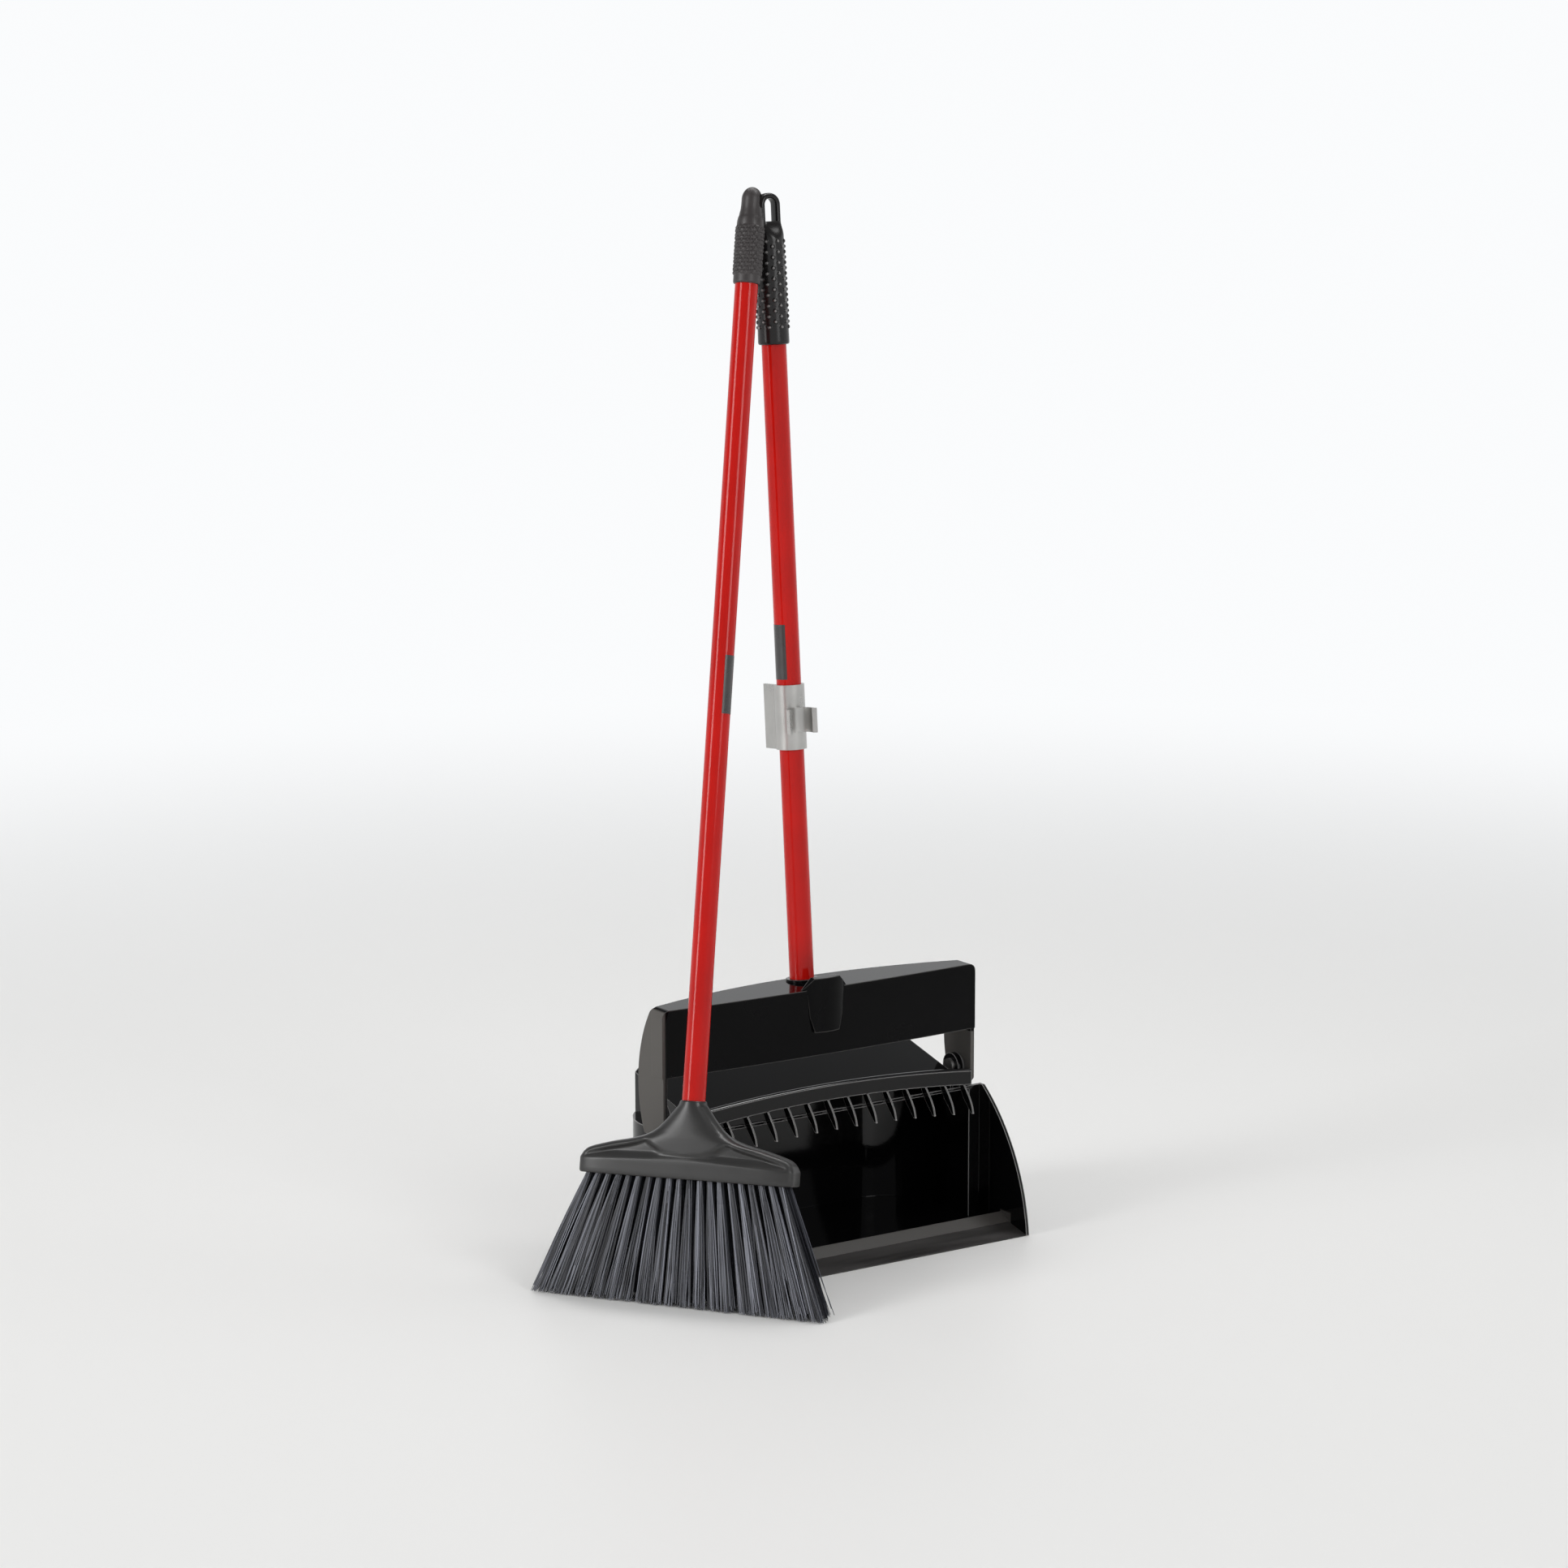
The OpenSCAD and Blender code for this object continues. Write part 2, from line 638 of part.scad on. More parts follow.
module broom_head() {
  corner = 9;
  pocket_w = row_w + 2 * pocket_side;
  pocket_d = row_n * row_pitch + pocket_side;
  color(head_grey) on_broom(bristle_h) difference() {
    union() {
      linear_extrude(skirt_h) {
        square([head_w - 2 * corner, head_d], center = true);
        square([head_w, head_d - 2 * corner], center = true);
        for (x = [-1, 1], y = [-1, 1]) translate([x * (head_w / 2 - corner), y * (head_d / 2 - corner)]) circle(corner);
      }
      translate([0, 0, skirt_h]) intersection() {
        translate([0, head_d, 0]) rotate([90, 0, 0]) linear_extrude(2 * head_d) head_front();
        across(head_w) head_side();
      }
      translate([0, 0, skirt_h]) cylinder(h = head_h - skirt_h, d = neck_d);
    }
    translate([0, 0, head_h - thread_len - over]) cylinder(h = thread_len + 2 * over, d = thread_d + 2 * press_gap);
    translate([-pocket_w / 2, -pocket_d / 2, -over]) cube([pocket_w, pocket_d, backing_t + over]);
  }
}

module broom_tube() {
  color(handle_red) on_broom(head_top) difference() {
    cylinder(h = broom_tube_top - head_top, d = broom_tube_d);
    translate([0, 0, -over]) cylinder(h = broom_tube_top - head_top + 2 * over, d = broom_tube_d - 2 * tube_wall);
    translate([0, 0, tip_len / 2]) rotate([90, 0, 0])
      cylinder(h = 2 * broom_tube_d, d = lock_d + 2 * press_gap, center = true);
  }
}

module threaded_tip() {
  plug_d = broom_tube_d - 2 * tube_wall - 2 * press_gap;
  color("black") on_broom(head_top) difference() {
    union() {
      translate([0, 0, -thread_len]) cylinder(h = thread_len + over, d = thread_d);
      cylinder(h = tip_len, d = plug_d);
    }
    translate([0, 0, tip_len / 2]) rotate([90, 0, 0])
      cylinder(h = 2 * broom_tube_d, d = lock_d + 2 * press_gap, center = true);
  }
}

module tip_lock_pin() {
  color(steel) on_broom(head_top + tip_len / 2) rotate([90, 0, 0])
    cylinder(h = broom_tube_d, d = lock_d, center = true);
}

module broom_grip() {
  loop_at = broom_cone_at - broom_grip_at;
  loop_w = broom_grip_d - 5;
  color(grip_black) on_broom(broom_grip_at) difference() {
    union() {
      cylinder(h = loop_at, d = broom_grip_d);
      translate([0, 0, loop_at]) cylinder(h = grip_cone, d1 = broom_grip_d, d2 = loop_w);
      translate([0, 0, loop_at + grip_cone - over]) rotate([0, 0, 90])
        hang_loop(loop_w, broom_loop_t, broom_loop_h + over, broom_slot, loop_w / 2);
    }
    translate([0, 0, -over])
      cylinder(h = loop_at + over, d = broom_tube_d + 2 * press_gap);
  }
}

// One row of strands and its backing slice as a single closed surface.
// Each strand stands in its own cell of the slice's underside.
module bristle_row(row) {
  row_y = (row - (row_n + 1) / 2) * row_pitch;
  cell = row_w / strand_n;
  half_d = 0.469 * row_pitch;
  per_tuft = strand_n / tuft_n;
  // Middle of a strand's foot: strands draw in to their tuft and stand in two lines
  function foot_x(i) = -row_w / 2 + (i + 0.5) * cell;
  function tuft_x(i) = -row_w / 2 + (floor(i / per_tuft) + 0.5) * per_tuft * cell;
  function foot_y(i) = (i % 2 == 0 ? 0.22 : -0.22) * row_pitch;
  function tip_x(i) = flare_x * (0.7 * foot_x(i) + 0.3 * tuft_x(i));
  function tip_y(i) = flare_y * (row_y + foot_y(i));
  // Tips lie on the floor, some of them a little short
  function tip_z(i) = ((1 + 1.2 * (i * 7 % 5)) * strand_d / 3 - up_x * tip_x(i) - up_y * tip_y(i)) / up_z - bristle_h;
  function corner(k, r) = [r * cos(90 + 120 * k), r * sin(90 + 120 * k)];
  edges = [for (i = [0 : strand_n]) for (z = [backing_t, 0]) for (s = [-1, 1])
    [-row_w / 2 + i * cell, row_y + s * half_d, z]];
  feet = [for (i = [0 : strand_n - 1]) for (k = [0 : 2])
    let (c = corner(k, strand_d / 2)) [foot_x(i) + c[0], row_y + foot_y(i) + c[1], 0]];
  tips = [for (i = [0 : strand_n - 1]) for (k = [0 : 2])
    let (c = corner(k, strand_d / 3)) [tip_x(i) + c[0], tip_y(i) + c[1], tip_z(i)]];
  f0 = len(edges);
  t0 = f0 + len(feet);
  // Corners of cell i: top and bottom, front (0) and rear (1), at its left and right ends
  plate = [for (i = [0 : strand_n - 1])
    let (a = 4 * i, b = 4 * i + 4, f = f0 + 3 * i)
    each [[a, a + 1, b + 1], [a, b + 1, b],
      [a, b, b + 2], [a, b + 2, a + 2], [a + 1, b + 3, b + 1], [a + 1, a + 3, b + 3],
      [a + 3, f, b + 3], [a + 3, f + 1, f], [a + 3, a + 2, f + 1], [a + 2, f + 2, f + 1],
      [a + 2, b + 2, f + 2], [b + 2, b + 3, f + 2], [b + 3, f, f + 2]]];
  strands = [for (i = [0 : strand_n - 1])
    let (f = f0 + 3 * i, t = t0 + 3 * i)
    each [for (k = [0 : 2]) let (n = (k + 1) % 3) each [[f + k, f + n, t + n], [f + k, t + n, t + k]]]];
  ends = [for (i = [0 : strand_n - 1]) let (t = t0 + 3 * i) [t, t + 1, t + 2]];
  last = 4 * strand_n;
  caps = [[0, 2, 3], [0, 3, 1], [last, last + 1, last + 3], [last, last + 3, last + 2]];
  color(bristle_blue) on_broom(bristle_h)
    polyhedron(concat(edges, feet, tips), concat(plate, strands, ends, caps));
}

module bristle_row_1() { bristle_row(1); }
module bristle_row_2() { bristle_row(2); }
module bristle_row_3() { bristle_row(3); }
module bristle_row_4() { bristle_row(4); }

pan_tray();
lip_strip();
yoke();
pivot_pin_left();
pivot_pin_right();
friction_washer_left();
friction_washer_right();
pan_tube();
tube_screw();
pan_grip();
broom_clip();
broom_head();
broom_tube();
threaded_tip();
tip_lock_pin();
broom_grip();
bristle_row_1();
bristle_row_2();
bristle_row_3();
bristle_row_4();
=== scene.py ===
"""A lobby broom leaning on its upright dustpan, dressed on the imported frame.

The frame is in metres. New pieces are worked out in millimetres and turned to metres where they are placed.
"""

import bpy
import numpy as np
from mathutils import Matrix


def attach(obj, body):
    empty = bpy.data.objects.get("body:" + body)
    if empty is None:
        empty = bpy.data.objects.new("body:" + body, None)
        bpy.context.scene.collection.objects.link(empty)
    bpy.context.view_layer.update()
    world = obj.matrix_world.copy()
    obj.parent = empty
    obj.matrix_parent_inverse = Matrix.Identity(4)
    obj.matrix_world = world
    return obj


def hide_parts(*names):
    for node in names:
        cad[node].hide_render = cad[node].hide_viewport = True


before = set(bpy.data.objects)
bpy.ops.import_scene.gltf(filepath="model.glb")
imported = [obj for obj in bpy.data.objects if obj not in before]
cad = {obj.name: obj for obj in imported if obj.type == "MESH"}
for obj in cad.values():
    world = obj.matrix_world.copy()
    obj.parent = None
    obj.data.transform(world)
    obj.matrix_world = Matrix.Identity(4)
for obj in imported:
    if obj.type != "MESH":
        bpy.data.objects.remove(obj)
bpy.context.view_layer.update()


# Studio: a pale floor that runs up into a wall and turns white with distance, a tall window to the left,
# a soft front light and a long one overhead. The upper room is dimmer, so that black plastic stays black.
view_az, view_el, view_roll = np.radians([-33.524, 10.659, 0.087])
look_at = np.array([-0.10164, -0.08459, 0.450])
view_distance = 3.65621
sensor_mm, focal_px, frame_px = 36.0, 5272.11, 1932
back = np.array([np.sin(view_az) * np.cos(view_el), -np.cos(view_az) * np.cos(view_el), np.sin(view_el)])
camera = bpy.data.objects.new("camera", bpy.data.cameras.new("camera"))
camera.data.sensor_width = sensor_mm
camera.data.lens = sensor_mm * focal_px / frame_px
camera.data.clip_end = 50.0
camera.location = look_at + back * view_distance
camera.rotation_euler = (np.pi / 2 - view_el, view_roll, view_az)
bpy.context.scene.collection.objects.link(camera)
bpy.context.scene.camera = camera
bpy.context.scene.view_settings.view_transform = "Standard"


def soft_light(name, place, target, size, power):
    """A rectangular lamp at a place, turned so that its face looks at the target."""
    lamp = bpy.data.lights.new(name, "AREA")
    lamp.shape, lamp.size, lamp.size_y = "RECTANGLE", size[0], size[1]
    lamp.energy = power
    holder = bpy.data.objects.new(name, lamp)
    holder.location = place
    way = np.array(target, float) - np.array(place, float)
    yaw, pitch = np.arctan2(way[0], -way[1]), np.arctan2(np.hypot(way[0], way[1]), -way[2])
    holder.rotation_euler = (pitch, 0, yaw + np.pi)
    bpy.context.scene.collection.objects.link(holder)


soft_light("window_left", place=(-3.8, 0.15, 1.9), target=(-0.1, 0, 0.35), size=(1.1, 2.4), power=74)
soft_light("front_soft", place=(0.3, -3.0, 1.9), target=(0, 0, 0.4), size=(1.0, 1.6), power=26)
soft_light("overhead", place=(0.9, 0.5, 2.9), target=(0, 0, 0), size=(3.2, 0.7), power=44)


def plain_rays(tree):
    """A value that is one for a ray from the camera, off a gloss or through glass, and zero for others."""
    last = None
    rays = tree.nodes.new("ShaderNodeLightPath")
    for kind in "Is Camera Ray", "Is Glossy Ray", "Is Transmission Ray":
        either = tree.nodes.new("ShaderNodeMath")
        either.operation = "MAXIMUM"
        tree.links.new(rays.outputs[kind], either.inputs[0])
        if last:
            tree.links.new(last, either.inputs[1])
        else:
            either.inputs[1].default_value = 0.0
        last = either.outputs["Value"]
    return last


def span(tree, value, across, onto, smooth=False):
    """Carries a value from the span across to the span onto, evenly or by a smooth step, held at its ends."""
    step = tree.nodes.new("ShaderNodeMapRange")
    if smooth:
        step.interpolation_type = "SMOOTHSTEP"
    for socket, number in zip(("From Min", "From Max", "To Min", "To Max"), (*across, *onto)):
        step.inputs[socket].default_value = number
    tree.links.new(value, step.inputs["Value"])
    return step.outputs["Result"]


room_white = (0.96, 0.97, 0.98, 1)
air_level = 0.34
world = bpy.data.worlds.new("studio_air")
bpy.context.scene.world = world
world.use_nodes = True
sky = world.node_tree
air = sky.nodes["Background"]
air.inputs["Color"].default_value = room_white
outward = sky.nodes.new("ShaderNodeTexCoord")
climb = sky.nodes.new("ShaderNodeSeparateXYZ")
sky.links.new(outward.outputs["Object"], climb.inputs["Vector"])
haze = span(sky, climb.outputs["Z"], (0.08, 0.40), (1.0, air_level), smooth=True)
air_strength = span(sky, plain_rays(sky), (0, 1), (air_level, 1.0))
sky.links.new(haze, air_strength.node.inputs["To Max"])
sky.links.new(air_strength, air.inputs["Strength"])


def floor_sweep(half_width, front, rear, height, bend):
    """A floor from front to rear that turns up by a quarter circle of the given radius into a wall."""
    turn = np.linspace(0, np.pi / 2, 13)
    y = np.concatenate([[front], rear - bend + bend * np.sin(turn), [rear]])
    z = np.concatenate([[0], bend - bend * np.cos(turn), [height]])
    x = np.array([-half_width, half_width])
    points = np.stack(np.broadcast_arrays(x[None, :], y[:, None], z[:, None]), -1).reshape(-1, 3)
    i = 2 * np.arange(len(y) - 1)
    faces = np.stack([i, i + 1, i + 3, i + 2], -1)
    mesh = bpy.data.meshes.new("floor")
    mesh.from_pydata(points.tolist(), [], faces.tolist())
    mesh.polygons.foreach_set("use_smooth", np.ones(len(faces), bool))
    return bpy.data.objects.new("floor", mesh)


floor = floor_sweep(half_width=16.0, front=-18.0, rear=4.5, height=6.0, bend=1.5)
bpy.context.scene.collection.objects.link(floor)
floor_paint = bpy.data.materials.new("pale_floor")
floor_paint.use_nodes = True
ground = floor_paint.node_tree
matte = ground.nodes["Principled BSDF"]
matte.inputs["Base Color"].default_value = (0.86, 0.857, 0.845, 1)
matte.inputs["Roughness"].default_value = 0.45
floor_place = ground.nodes.new("ShaderNodeTexCoord")
plan = ground.nodes.new("ShaderNodeVectorMath")
plan.operation = "MULTIPLY"
plan.inputs[1].default_value = (1, 1, 0)
ground.links.new(floor_place.outputs["Object"], plan.inputs[0])
reach = ground.nodes.new("ShaderNodeVectorMath")
reach.operation = "LENGTH"
ground.links.new(plan.outputs["Vector"], reach.inputs[0])
far = span(ground, reach.outputs["Value"], (0.9, 3.0), (0, 1), smooth=True)
white_share = ground.nodes.new("ShaderNodeMath")
white_share.operation = "MULTIPLY"
ground.links.new(far, white_share.inputs[0])
ground.links.new(plain_rays(ground), white_share.inputs[1])
white = ground.nodes.new("ShaderNodeEmission")
white.inputs["Color"].default_value = room_white
wall_place = ground.nodes.new("ShaderNodeSeparateXYZ")
ground.links.new(floor_place.outputs["Object"], wall_place.inputs["Vector"])
ground.links.new(span(ground, wall_place.outputs["Z"], (1.5, 3.0), (1.0, 0.2)), white.inputs["Strength"])
blend = ground.nodes.new("ShaderNodeMixShader")
ground.links.new(white_share.outputs["Value"], blend.inputs[0])
ground.links.new(matte.outputs["BSDF"], blend.inputs[1])
ground.links.new(white.outputs["Emission"], blend.inputs[2])
ground.links.new(blend.outputs["Shader"], ground.nodes["Material Output"].inputs["Surface"])
floor.data.materials.append(floor_paint)


# Pan: one black moulding with a hood, an arched header band, comb teeth under it and two pivot ears.
# The tool steel was polished, so the plastic is glossy, with faint flow marks. Its outer edges carry a pale
# painted highlight, and the ramp behind the mouth is rougher, with a paler painted reflection.
def repaint(paint, socket, kind, share, value):
    """Mixes a value into what already feeds a socket of the paint's shader, fully where the share is one."""
    tree = paint.node_tree
    fed = tree.nodes["Principled BSDF"].inputs[socket]
    mix = tree.nodes.new("ShaderNodeMix")
    mix.data_type = kind
    mix.inputs["B"].default_value = value
    tree.links.new(share, mix.inputs["Factor"])
    tree.links.new(fed.links[0].from_socket, mix.inputs["A"])
    tree.links.new(mix.outputs["Result"], fed)


def finish(name, colour, rough, grain, grain_depth, rough_spread=0.06, spread_scale=14.0, stretch=(1, 1, 1),
           tone=0.25, edge=0.0, specular=0.5, edge_highlight=None):
    """A moulded or painted surface on Object coordinates. Colour and roughness wander with a broad noise,
    the colour by the share tone and the roughness by rough_spread, and a fine noise of the given grain, in
    marks a metre, lifts the surface by grain_depth. Edges are softened over the edge radius, and outer ones,
    where the solid behind the surface soon ends, take the given edge colour as a painted highlight."""
    paint = bpy.data.materials.new(name)
    paint.use_nodes = True
    tree = paint.node_tree
    nodes, links = tree.nodes, tree.links
    shader = nodes["Principled BSDF"]
    shader.inputs["Specular IOR Level"].default_value = specular
    where = nodes.new("ShaderNodeTexCoord")
    turn = nodes.new("ShaderNodeMapping")
    turn.inputs["Scale"].default_value = stretch
    links.new(where.outputs["Object"], turn.inputs["Vector"])
    broad = nodes.new("ShaderNodeTexNoise")
    broad.inputs["Scale"].default_value = spread_scale
    broad.inputs["Detail"].default_value = 5.0
    links.new(turn.outputs["Vector"], broad.inputs["Vector"])
    noise_span = 0.3, 0.7
    shade = nodes.new("ShaderNodeValToRGB")
    for stop, place, share in zip(shade.color_ramp.elements, noise_span, (1 - tone, 1 + tone)):
        stop.position = place
        stop.color = (*[c * share for c in colour], 1)
    links.new(broad.outputs["Fac"], shade.inputs["Fac"])
    links.new(shade.outputs["Color"], shader.inputs["Base Color"])
    rough_span = max(rough - rough_spread, 0.03), rough + rough_spread
    links.new(span(tree, broad.outputs["Fac"], noise_span, rough_span), shader.inputs["Roughness"])
    fine = nodes.new("ShaderNodeTexNoise")
    fine.inputs["Scale"].default_value = grain
    fine.inputs["Detail"].default_value = 3.0
    links.new(where.outputs["Object"], fine.inputs["Vector"])
    lift = nodes.new("ShaderNodeBump")
    lift.inputs["Distance"].default_value = grain_depth
    lift.inputs["Strength"].default_value = 0.6
    links.new(fine.outputs["Fac"], lift.inputs["Height"])
    if edge:
        soften = nodes.new("ShaderNodeBevel")
        soften.samples = 6
        soften.inputs["Radius"].default_value = edge
        links.new(soften.outputs["Normal"], lift.inputs["Normal"])
    links.new(lift.outputs["Normal"], shader.inputs["Normal"])
    # Outer edges are painted paler here, as a painted highlight along them.
    if edge_highlight:
        behind = nodes.new("ShaderNodeAmbientOcclusion")
        behind.inside, behind.only_local, behind.samples = True, True, 8
        behind.inputs["Distance"].default_value = 1.3 * edge
        highlit_edges = span(tree, behind.outputs["AO"], (0.5, 0.88), (1.0, 0.0))
        repaint(paint, "Base Color", "RGBA", highlit_edges, (*edge_highlight, 1))
    return paint


def painted_sheen_patch(paint, low, high, colour, rough, fade=0.002):
    """A place inside a box of Object coordinates, painted paler as a painted reflection and made rougher: its
    weight is one where the largest of the distances beyond the box's three half sizes is below zero, and runs
    out to zero over the fade."""
    tree = paint.node_tree
    low, high = np.array(low), np.array(high)
    last = tree.nodes.new("ShaderNodeTexCoord").outputs["Object"]
    for step, amount in ("SUBTRACT", (low + high) / 2), ("ABSOLUTE", None), ("SUBTRACT", (high - low) / 2):
        work = tree.nodes.new("ShaderNodeVectorMath")
        work.operation = step
        tree.links.new(last, work.inputs[0])
        if amount is not None:
            work.inputs[1].default_value = amount
        last = work.outputs["Vector"]
    split = tree.nodes.new("ShaderNodeSeparateXYZ")
    tree.links.new(last, split.inputs["Vector"])
    last = split.outputs["X"]
    for other in "Y", "Z":
        beyond = tree.nodes.new("ShaderNodeMath")
        beyond.operation = "MAXIMUM"
        tree.links.new(last, beyond.inputs[0])
        tree.links.new(split.outputs[other], beyond.inputs[1])
        last = beyond.outputs["Value"]
    weight = span(tree, last, (0.0, fade), (1.0, 0.0))
    repaint(paint, "Base Color", "RGBA", weight, (*colour, 1))
    repaint(paint, "Roughness", "FLOAT", weight, rough)


def paint_node(name, paint):
    """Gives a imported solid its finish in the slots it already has."""
    for part in cad[name].material_slots:
        part.material = paint


moulded_black = (0.0022, 0.0022, 0.0025)
# The pale colour on the outer edges of the pan is a painted highlight.
pan_black = finish("pan_black", moulded_black, 0.07, 420, 0.00002, 0.03, edge=0.0010, specular=0.28,
                   edge_highlight=(0.34, 0.335, 0.33))
# The ramp patch's paler colour is a painted reflection; its higher roughness is real.
painted_sheen_patch(pan_black, low=(-0.1715, -0.0445, 0.006), high=(0.1715, -0.0305, 0.0145),
           colour=(0.060, 0.056, 0.052), rough=0.42)
paint_node("pan_tray", pan_black)


# Header edge: the top of the pan's arched band, rolled over to a smooth round that takes a long highlight.
# It is moulded in one with the pan, in the same black plastic.
def shell(rings):
    """Points and faces of a closed skin over rings of points, anticlockwise as seen from the last ring."""
    n, m = rings.shape[:2]
    i, j = np.meshgrid(np.arange(n - 1), np.arange(m), indexing="ij")
    k = (j + 1) % m
    quads = np.stack([i * m + j, i * m + k, (i + 1) * m + k, (i + 1) * m + j], -1).reshape(-1, 4)
    caps = [np.arange(m)[::-1].tolist(), np.arange((n - 1) * m, n * m).tolist()]
    return rings.reshape(-1, 3), quads.tolist() + caps


def piece(name, shells, paint, body, crease=40):
    """One object from closed skins, smooth but for edges sharper than crease degrees, riding on a body."""
    starts = np.cumsum([0] + [len(points) for points, _ in shells])
    points = np.concatenate([points for points, _ in shells])
    faces = [[int(v + start) for v in face] for start, (_, skin) in zip(starts, shells) for face in skin]
    mesh = bpy.data.meshes.new(name)
    mesh.from_pydata(points.tolist(), [], faces)
    mesh.polygons.foreach_set("use_smooth", np.ones(len(faces), bool))
    mesh.set_sharp_from_angle(angle=np.radians(crease))
    mesh.materials.append(paint)
    made = bpy.data.objects.new(name, mesh)
    bpy.context.scene.collection.objects.link(made)
    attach(made, body)
    return made


pan_half, arch_foot, arch_rise, band_high = 174, 127, 10.6, 13
roll_half_x, roll_half_y, roll_half_z, roll_y, roll_sunk, roll_sides = 159, 3.55, 2.4, 3.5, 0.8, 20
arch_r = (pan_half ** 2 + arch_rise ** 2) / (2 * arch_rise)
roll_x = np.linspace(-roll_half_x, roll_half_x, 121)[:, None]
roll_z = arch_foot + arch_rise - arch_r + np.sqrt((arch_r + band_high) ** 2 - roll_x ** 2) - roll_sunk
roll_turn = 2 * np.pi * np.arange(roll_sides) / roll_sides
roll = np.stack(np.broadcast_arrays(roll_x, roll_y + roll_half_y * np.cos(roll_turn),
                                    roll_z + roll_half_z * np.sin(roll_turn)), -1)
edge_black = finish("edge_black", moulded_black, 0.06, 420, 0.00001, 0.02, specular=0.7)
piece("header_edge", [shell(roll / 1000)], edge_black, "pan")


# Lip strip: a softer grey-black blade along the mouth, bonded to the ramp's front face.
# It rubs along the floor, so it is duller than the pan and scuffed along its length.
lip_grey = finish("lip_grey", (0.030, 0.028, 0.027), 0.40, 900, 0.00006, 0.12, 9.0, stretch=(1, 9, 9),
                  tone=0.35, edge=0.0006)
paint_node("lip_strip", lip_grey)


# Yoke: a second black moulding that carries the handle between two flat arms. The arms are rougher, with a
# grey painted reflection, and the outer edges carry a faint painted highlight.
# Dull steel stub pins and two grey washers in the arms give the handle its stiff tilt.
# The faint pale colour on the yoke's outer edges is a painted highlight.
yoke_black = finish("yoke_black", moulded_black, 0.08, 420, 0.00002, 0.03, edge=0.0010, specular=0.08,
                    edge_highlight=(0.10, 0.098, 0.095))
# The grey arm patches are a painted reflection in their colour; their higher roughness is real.
arm_painted_sheen = (0.115, 0.109, 0.102)
painted_sheen_patch(yoke_black, low=(-0.1720, -0.010, 0.110), high=(-0.1672, 0.070, 0.260),
           colour=arm_painted_sheen, rough=0.45)
painted_sheen_patch(yoke_black, low=(0.1600, 0.005, 0.110), high=(0.1672, 0.070, 0.176),
           colour=arm_painted_sheen, rough=0.45, fade=0.0008)
paint_node("yoke", yoke_black)
pin_steel = finish("pin_steel", (0.42, 0.41, 0.40), 0.42, 1500, 0.00002, 0.08, 60.0)
pin_steel.node_tree.nodes["Principled BSDF"].inputs["Metallic"].default_value = 1.0
for part in "pivot_pin_left", "pivot_pin_right", "tube_screw":
    paint_node(part, pin_steel)
washer_grey = finish("washer_grey", (0.10, 0.10, 0.10), 0.55, 1200, 0.00004)
for part in "friction_washer_left", "friction_washer_right":
    paint_node(part, washer_grey)


# Pan tube: thin steel, powder coated in a glossy red that shows a slight orange peel.
# It is pushed into the yoke's socket and held there by a screw from behind.
tube_red = finish("tube_red", (0.54, 0.008, 0.005), 0.11, 260, 0.00002, 0.03, 20.0, tone=0.08, specular=0.22)
paint_node("pan_tube", tube_red)


# Pan label: a plain sticker of dark plastic film, about as thick as a sheet of card.
# It is stuck round the left side of the pan's tube, above the clip.
def turn_about(axis, degrees):
    """Matrix of a right-handed turn about the x axis (0) or the z axis (2)."""
    c, s = np.cos(np.radians(degrees)), np.sin(np.radians(degrees))
    return np.array([[1, 0, 0], [0, c, -s], [0, s, c]] if axis == 0 else [[c, -s, 0], [s, c, 0], [0, 0, 1]])


handle_lean, handle_foot = 4.42, [0, 42, 240]


def on_handle(points):
    """Millimetres along and across the pan handle's axis, from the yoke's top, to the frame's metres."""
    return (points @ turn_about(0, -handle_lean).T + handle_foot) / 1000


def label(radius, low, high, start, end, thick=0.15, lift=0.02):
    """A curved patch on a tube: rings run up it, and each goes out along the face and back behind it."""
    across, rows = 40, 12
    turn = np.radians(np.linspace(start, end, across))
    turn = np.concatenate([turn, turn[::-1]])
    r = np.repeat([radius + thick, radius + lift], across)
    up = np.linspace(low, high, rows)[:, None]
    return np.stack(np.broadcast_arrays(r * np.cos(turn), r * np.sin(turn), up), -1)


film_grey = finish("film_grey", (0.045, 0.042, 0.042), 0.28, 600, 0.00002, 0.05, 30.0, tone=0.15)
pan_label = label(radius=11.1, low=273, high=322, start=112, end=230)
piece("pan_label", [shell(on_handle(pan_label))], film_grey, "handle_frame")


# Pan grip: a soft black sleeve with round nubs in staggered columns, with a pale painted highlight at their
# tips.
# It is pushed over the tube's top, and flattens above it into a hanging loop with a long slot.
def outline(count, power):
    """Points of a unit superellipse: each coordinate is the sign of the cosine or sine times its size raised
    to two over the power, so that two is a circle and a large power is nearly square."""
    turn = 2 * np.pi * np.arange(count) / count
    bend = 2 / np.asarray(power, float)[..., None]
    c, s = np.cos(turn), np.sin(turn)
    return np.sign(c) * np.abs(c) ** bend, np.sign(s) * np.abs(s) ** bend


def ease(x, low, high):
    """A smooth step from 0 at low to 1 at high: three times the square of the way less twice its cube."""
    u = np.clip((np.asarray(x, float) - low) / (high - low), 0, 1)
    return u * u * (3 - 2 * u)


def stack(heights, half_x, half_y, power, count):
    """Rings of superellipses, one at each height, with the given half sizes."""
    x, y = outline(count, power)
    z = np.broadcast_to(heights[:, None], x.shape)
    return np.stack([x * half_x[:, None], y * half_y[:, None], z], -1)


def rounding(heights, deep, high):
    """How far a lower edge draws in: a quarter ellipse from deep at the foot to none at the height high."""
    return deep * (1 - np.sqrt(np.clip(1 - ((high - heights) / high).clip(0) ** 2, 0, 1)))


